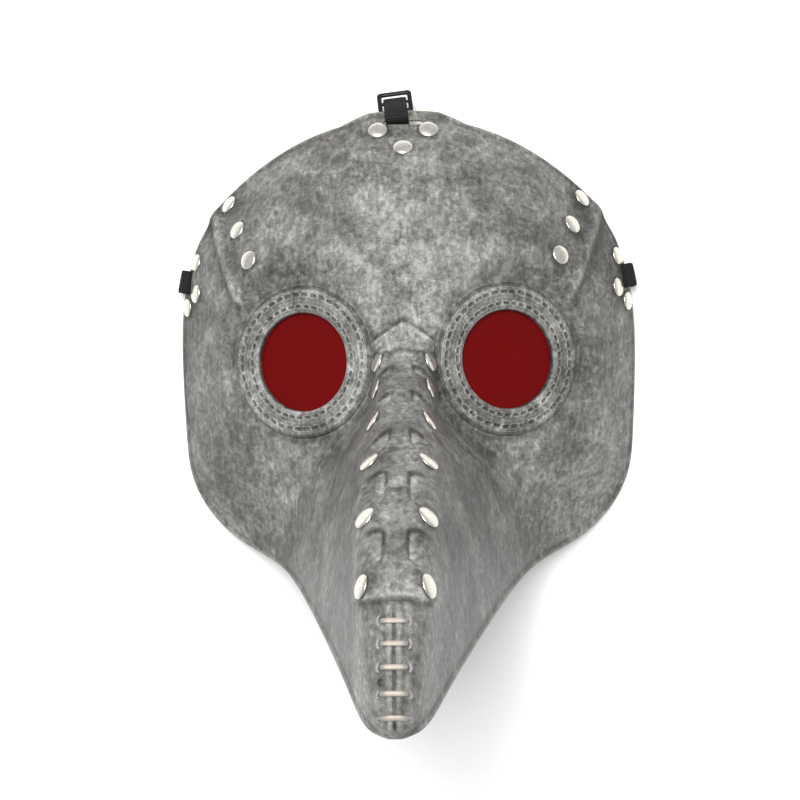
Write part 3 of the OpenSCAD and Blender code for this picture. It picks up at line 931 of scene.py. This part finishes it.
# ---- Rivets ----

CAP_PROFILE = [(3.2, 0.0), (3.72, 0.0), (3.92, 0.10), (4.0, 0.28), (3.97, 0.44), (3.86, 0.60),
               (3.66, 0.74), (3.36, 0.87), (2.9, 1.0), (2.3, 1.12), (1.6, 1.21), (0.8, 1.27),
               (0.1, 1.29)]
BACK_PROFILE = [(0.1, -1.08), (1.5, -1.08), (2.2, -0.99), (2.7, -0.83), (2.95, -0.64),
                (3.08, -0.42), (3.08, -0.14), (2.95, -0.02), (2.5, 0.0), (1.5, -0.05)]


def make_rivets(group, places):
    for kind, profile, reach in (("caps", CAP_PROFILE, cap_rise),
                                 ("backs", BACK_PROFILE, lambda p: -back_drop(p))):
        points, faces = [], []
        for place in places:
            part, quads = lathe(profile, 72)
            if kind == "caps":
                post, post_quads = lathe([(1.3, -reach(place) - back_drop(place) - 0.5),
                                          (1.3, 0.2)], 32)
                quads = quads + [[v + len(part) for v in q] for q in post_quads]
                part = np.concatenate([part, post])
            start = sum(len(q) for q in points)
            n = face_normal(*place)
            turn = basis(n, (0, 1, 0.01))
            points.append((part + (0, 0, reach(place))) @ turn.T + face(*place))
            faces += [[v + start for v in q] for q in quads]
        obj = add_mesh(f"rivet_{kind}_{group}", np.concatenate(points), faces, NICKEL, 55)
        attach(obj, "mask")
        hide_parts(f"{kind}_{group}")


for group, places in RIVETS.items():
    make_rivets(group, places)


# ---- Staples along the lower beak ----


def section_on_ridge(y):
    ts = np.linspace(14, LAST, 2001)
    return float(np.interp(-y, -face(ts, np.zeros_like(ts))[:, 1], ts))


def tube(centres, normals, widths, depths, segments=20):
    """An oval tube along centres, its depth along the normals, with rounded ends."""
    tangent = np.gradient(centres, axis=0)
    tangent /= np.linalg.norm(tangent, axis=1, keepdims=True)
    side = np.cross(tangent, normals)
    side /= np.linalg.norm(side, axis=1, keepdims=True)
    a = np.linspace(0, 2 * np.pi, segments, endpoint=False)
    rings = [c + np.outer(np.cos(a) * w, s) + np.outer(np.sin(a) * d, n)
             for c, s, n, w, d in zip(centres, side, normals, widths, depths)]
    points = np.concatenate(rings)
    last = (len(centres) - 1) * segments
    faces = grid_faces(len(centres), segments, wrap_cols=True)
    faces += [list(range(segments))[::-1], list(range(last, last + segments))]
    return points, faces


def make_staples():
    points, faces, wear = [], [], []

    def add(part, quads, top):
        start = sum(len(q) for q in points)
        points.append(part)
        wear.append(top)
        faces.extend([[v + start for v in q] for q in quads])

    for y in STAPLE_Y:
        t = section_on_ridge(y)
        x = np.linspace(-4.3, 4.3, 41)
        share = np.abs(x) / 4.3
        u = np.array([across(v, t) for v in x])
        n = face_normal(np.full_like(u, t), u)
        base = face(np.full_like(u, t), u)
        high = 0.62 - 0.35 * ease((share - 0.7) / 0.3)
        width = 0.86 * np.sqrt(np.clip(1.02 - share**8, 0.05, 1))
        depth = 0.58 * np.sqrt(np.clip(1.02 - share**8, 0.05, 1))
        part, quads = tube(base + n * high[:, None], n, width, depth)
        top = np.repeat(ease((0.72 - share) / 0.35), 20) * np.tile(
            ease(0.25 + np.sin(np.linspace(0, 2 * np.pi, 20, endpoint=False))), len(x))
        add(part, quads, top)
        for side in (-1, 1):
            along = np.linspace(-1.7, 1.7, 21)
            ts = t - along / 18.0
            xs = side * (5.0 - 0.7 * (along / 1.7) ** 2)
            u = np.array([across(a, b) for a, b in zip(xs, ts)])
            n = face_normal(ts, u)
            taper = np.sqrt(np.clip(1.03 - (np.abs(along) / 1.7) ** 4, 0.05, 1))
            part, quads = tube(face(ts, u) + n * 0.28, n, 0.48 * taper, 0.42 * taper)
            add(part, quads, np.full(len(part), 0.1))
    obj = add_mesh("beak_staples", np.concatenate(points), faces, STAPLE, 60)
    set_values(obj, wear=np.concatenate(wear))
    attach(obj, "mask")


make_staples()


# ---- Elastic straps ----

ELASTIC_W, ELASTIC_T, RIBS = 10.0, 1.0, 9
FLOOR_Z = 2.3
TOP_STRAP_X, TOP_TURN = -2.5, math.radians(96.5)
TOP_PATH = [(-7, 21), (-3.2, 21.4), (-0.6, 22.9), (0.6, 25.6), (2, 26.4), (4, 25.2), (6, 23.4),
            (7.6, 21.2), (9.2, 18), (11, 15.2), (12.3, 13.4), (12.3, 11.7), (11.2, 10.9),
            (9, 10.5), (5, 9.2), (-2, 6.2), (-8, 3.8), (-14, FLOOR_Z + 1.2),
            (-68, FLOOR_Z + 1.2)]
SIDE_TURN = math.radians(11)
SIDE_PATH = [(-4.5, 6.3), (-2.4, 6.9), (-0.7, 8.3), (1.2, 9.9), (3, 9.9), (4.3, 8.4), (4.8, 6),
             (4.6, 3.9), (3.3, 2.6), (1.6, FLOOR_Z), (-8, FLOOR_Z)]
SIDE_RUN = [(-61.7, 46), (-51, 33), (-32, 27), (-8, 37), (15, 45), (40, 47), (61.7, 46)]


def placed_path(path, origin, turn):
    """Distances outward and heights, stood up at origin in the direction turn."""
    return np.array([(origin[0] + d * math.cos(turn), origin[1] + d * math.sin(turn), z)
                     for d, z in path])


def elastic_section():
    """Outline of the webbing across its width: ribs on both faces and round edges."""
    n = 54
    x = np.linspace(-1, 1, n)
    half = ELASTIC_T / 2
    swell = np.sqrt(np.clip(1 - np.abs(x) ** 10, 0, 1))
    rib = 0.13 * np.abs(np.sin(np.pi * RIBS * (x + 1) / 2)) ** 0.7 - 0.13
    top = np.column_stack([x * ELASTIC_W / 2, (half + rib) * swell])
    bottom = np.column_stack([x[::-1] * ELASTIC_W / 2, -((half + rib) * swell)[::-1]])
    return np.concatenate([top, bottom[1:-1]])


def make_strap(name, centre, width_dir, node):
    """Sweeps the webbing along centre, its width along width_dir at each point."""
    tangent = np.gradient(centre, axis=0)
    tangent /= np.linalg.norm(tangent, axis=1, keepdims=True)
    width = width_dir - tangent * np.sum(width_dir * tangent, 1, keepdims=True)
    width /= np.linalg.norm(width, axis=1, keepdims=True)
    thick = np.cross(tangent, width)
    outline = elastic_section()
    along = np.concatenate([[0], np.cumsum(np.linalg.norm(np.diff(centre, axis=0), axis=1))])
    pinch = 1 - 0.012 * (1 + np.sin(along * 0.9))
    rings = (centre[:, None] + outline[None, :, :1] * pinch[:, None, None] * width[:, None]
             + outline[None, :, 1:] * thick[:, None])
    rows, cols = rings.shape[:2]
    faces = grid_faces(rows, cols, wrap_cols=True, flip=True)
    faces += [list(range(cols)), list(range((rows - 1) * cols, rows * cols))[::-1]]
    obj = add_mesh(name, rings.reshape(-1, 3), faces, ELASTIC, 75)
    flow = np.zeros((rows, cols, 3))
    flow[..., 0] = along[:, None]
    flow[..., 1] = outline[None, :, 0]
    set_values(obj, flow=flow.reshape(-1, 3))
    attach(obj, "mask")
    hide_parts(node)
    return obj


def top_strap():
    path = placed_path(TOP_PATH, (TOP_STRAP_X, TOP_SLOT_Y), TOP_TURN)
    centre = even_path(smooth_path(path, 2), 0.35)
    width = np.tile([math.sin(TOP_TURN), -math.cos(TOP_TURN), 0], (len(centre), 1))
    make_strap("top_elastic", centre, width, "top_strap")


def side_strap():
    """One band: left loop, the run behind the face, right loop."""
    x, y = SIDE_SLOT_AT
    left = placed_path(SIDE_PATH, (-x, y), math.pi - SIDE_TURN)
    right = placed_path(SIDE_PATH, (x, y), SIDE_TURN)[::-1]
    run = np.column_stack([SIDE_RUN, np.full(len(SIDE_RUN), FLOOR_Z)])
    centre = even_path(smooth_path(np.concatenate([left, run, right]), 3), 0.42)
    flat = np.gradient(centre, axis=0)
    flat[:, 2] = 0
    # In the loops the band turns over, so its width keeps the direction of the straight run.
    width = np.cross(flat, (0, 0, 1))
    reach = np.abs(centre[:, 0]) > abs(x) - 12
    for side in (-1, 1):
        here = reach & (np.sign(centre[:, 0]) == side)
        width[here] = (math.sin(SIDE_TURN), -side * math.cos(SIDE_TURN), 0)
        width[here] *= side
    width[:, 2] = 0
    width /= np.linalg.norm(width, axis=1, keepdims=True)
    for k in range(1, len(width)):
        if width[k] @ width[k - 1] < 0:
            width[k] *= -1
    make_strap("side_elastic", centre, width, "side_strap")


top_strap()
side_strap()


# ---- Buckles ----

BUCKLE_W, BUCKLE_L, BUCKLE_T = 15.0, 10.6, 1.6
BUCKLE_WINDOW = (BUCKLE_L - 3.2, 11.2)
TOP_BAR, TOP_BUCKLE_TILT = (10.6, 12.6), math.radians(20)
SIDE_REST, SIDE_GAP = -17.0, 0.3


def rounded_loop(half_x, half_y, r, steps_each=10):
    points = []
    for cx, cy, start in ((half_x - r, half_y - r, 0), (r - half_x, half_y - r, 90),
                          (r - half_x, r - half_y, 180), (half_x - r, r - half_y, 270)):
        a = np.radians(np.linspace(start, start + 90, steps_each))
        points += list(zip(cx + r * np.cos(a), cy + r * np.sin(a)))
    return np.array(points)


def plate_with_window(thick):
    """A moulded frame: rounded outside, rounded window, softened edges."""
    soft = 0.34
    rings = []
    for inset, h in ((soft, -thick / 2), (soft * 0.3, -thick / 2 + soft * 0.3),
                     (0, -thick / 2 + soft), (0, thick / 2 - soft),
                     (soft * 0.3, thick / 2 - soft * 0.3), (soft, thick / 2)):
        rings.append((BUCKLE_L / 2 - inset, BUCKLE_W / 2 - inset, 1.7 - inset * 0.6, h))
    for inset, h in ((-soft, thick / 2), (-soft * 0.3, thick / 2 - soft * 0.3),
                     (0, thick / 2 - soft), (0, -thick / 2 + soft),
                     (-soft * 0.3, -thick / 2 + soft * 0.3), (-soft, -thick / 2)):
        rings.append((BUCKLE_WINDOW[0] / 2 - inset, BUCKLE_WINDOW[1] / 2 - inset,
                      0.75 - inset * 0.6, h))
    loops = [np.column_stack([rounded_loop(a, b, r), np.full(40, h)]) for a, b, r, h in rings]
    points = np.concatenate(loops)
    return points, grid_faces(len(loops), 40, wrap_rows=True, wrap_cols=True)


def bar(length, width, depth, centre, along="y"):
    """A rounded bar with swelling ends that merge into the frame."""
    s = np.linspace(-1, 1, 25)
    grow = 1 + 0.18 * np.abs(s) ** 8
    centres = np.zeros((25, 3))
    centres[:, 1 if along == "y" else 2] = s * length / 2
    normal = np.tile([0.0, 0.0, 1.0] if along == "y" else [1.0, 0.0, 0.0], (25, 1))
    points, faces = tube(centres, normal, width / 2 * grow, depth / 2 * grow, 24)
    return points + centre, faces


def join(parts):
    points, faces, start = [], [], 0
    for part, quads in parts:
        points.append(part)
        faces += [[v + start for v in q] for q in quads]
        start += len(part)
    return np.concatenate(points), faces


def make_buckle(name, parts, origin, turn, tilt=0.0):
    points, faces = join(parts)
    spin = np.array(Matrix.Rotation(turn, 3, "Z") @ Matrix.Rotation(tilt, 3, "Y"))
    obj = add_mesh(name + "_moulding", points @ spin.T + origin, faces, PLASTIC, 50)
    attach(obj, name)
    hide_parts(name)


def top_buckle():
    out = TOP_BAR[0]
    origin = (TOP_STRAP_X + out * math.cos(TOP_TURN), TOP_SLOT_Y + out * math.sin(TOP_TURN),
              TOP_BAR[1])
    parts = [plate_with_window(BUCKLE_T), bar(BUCKLE_WINDOW[1] + 1, 1.3, 1.3, (0, 0, 0))]
    make_buckle("top_buckle", parts, origin, TOP_TURN, TOP_BUCKLE_TILT)


def side_buckle(side):
    over = FLOOR_Z + ELASTIC_T / 2 + SIDE_GAP + BUCKLE_T / 2
    under = FLOOR_Z - ELASTIC_T / 2 - SIDE_GAP - 0.6
    turn = SIDE_TURN if side > 0 else math.pi - SIDE_TURN
    frame_points, frame_faces = plate_with_window(BUCKLE_T)
    parts = [(frame_points + (0, 0, over), frame_faces),
             bar(BUCKLE_WINDOW[1] + 2.6, 1.6, 0.9, (0, 0, under))]
    for y in (-1, 1):
        parts.append(bar(over - under + 0.4, 1.1, 1.6,
                         (0, y * (BUCKLE_WINDOW[1] + 1.5) / 2, (over + under) / 2), "z"))
    origin = (side * SIDE_SLOT_AT[0] + SIDE_REST * math.cos(turn),
              SIDE_SLOT_AT[1] + SIDE_REST * math.sin(turn), 0)
    make_buckle("left_buckle" if side < 0 else "right_buckle", parts, origin, turn)


top_buckle()
for side in (-1, 1):
    side_buckle(side)


# ---- Floor, light and camera ----


def floor():
    n = 41
    x, y = np.meshgrid(np.linspace(-1500, 1500, n), np.linspace(-1500, 1500, n), indexing="ij")
    look = Look("paper_floor")
    grain = look.noise(look.place(), 1.5, 3)
    look.set(Base_Color=look.ramp(grain, [(0.3, (0.90, 0.90, 0.90)), (0.7, (0.925, 0.925, 0.925))]),
             Roughness=0.9, Normal=look.bump(grain, 0.03, 0.3))
    points = np.stack([x, y, np.full_like(x, -0.02)], -1).reshape(-1, 3)
    obj = add_mesh("floor", points, grid_faces(n, n, flip=True), look.material)


def soft_box(name, place, target, size, power):
    light = bpy.data.lights.new(name, "AREA")
    light.shape, light.size, light.energy = "DISK", size, power
    obj = bpy.data.objects.new(name, light)
    obj.location = place
    obj.rotation_euler = (Vector(target) - Vector(place)).to_track_quat("-Z", "Y").to_euler()
    bpy.context.scene.collection.objects.link(obj)


def sky():
    world = bpy.context.scene.world or bpy.data.worlds.new("studio")
    bpy.context.scene.world = world
    world.use_nodes = True
    background = world.node_tree.nodes["Background"]
    background.inputs["Color"].default_value = (1, 1, 1, 1)
    background.inputs["Strength"].default_value = 0.60


floor()
sky()
soft_box("overhead", (-0.08, 0.24, 1.45), (0, 0, 0.05), 0.62, 15)
soft_box("upper", (-0.22, 0.66, 1.3), (0, 0, 0.08), 0.5, 8)

CAMERA_AT = np.array([16.2, 0.0, 634.0])
CAMERA_YAW, CAMERA_ROLL = math.radians(1.8), math.radians(0.8)


def camera():
    data = bpy.data.cameras.new("camera")
    data.lens, data.sensor_width = 64.85, 36
    data.clip_start = 0.01
    obj = bpy.data.objects.new("camera", data)
    level = Vector((math.cos(CAMERA_YAW), 0, -math.sin(CAMERA_YAW)))
    ahead = Vector((0, 1, 0))
    right = level * math.cos(CAMERA_ROLL) - ahead * math.sin(CAMERA_ROLL)
    up = level * math.sin(CAMERA_ROLL) + ahead * math.cos(CAMERA_ROLL)
    back = right.cross(up)
    turn = Matrix((right, up, back)).transposed().to_4x4()
    obj.matrix_world = Matrix.Translation(to_row(CAMERA_AT)) @ turn
    bpy.context.scene.collection.objects.link(obj)
    bpy.context.scene.camera = obj


camera()
bpy.context.scene.view_settings.view_transform = "Standard"
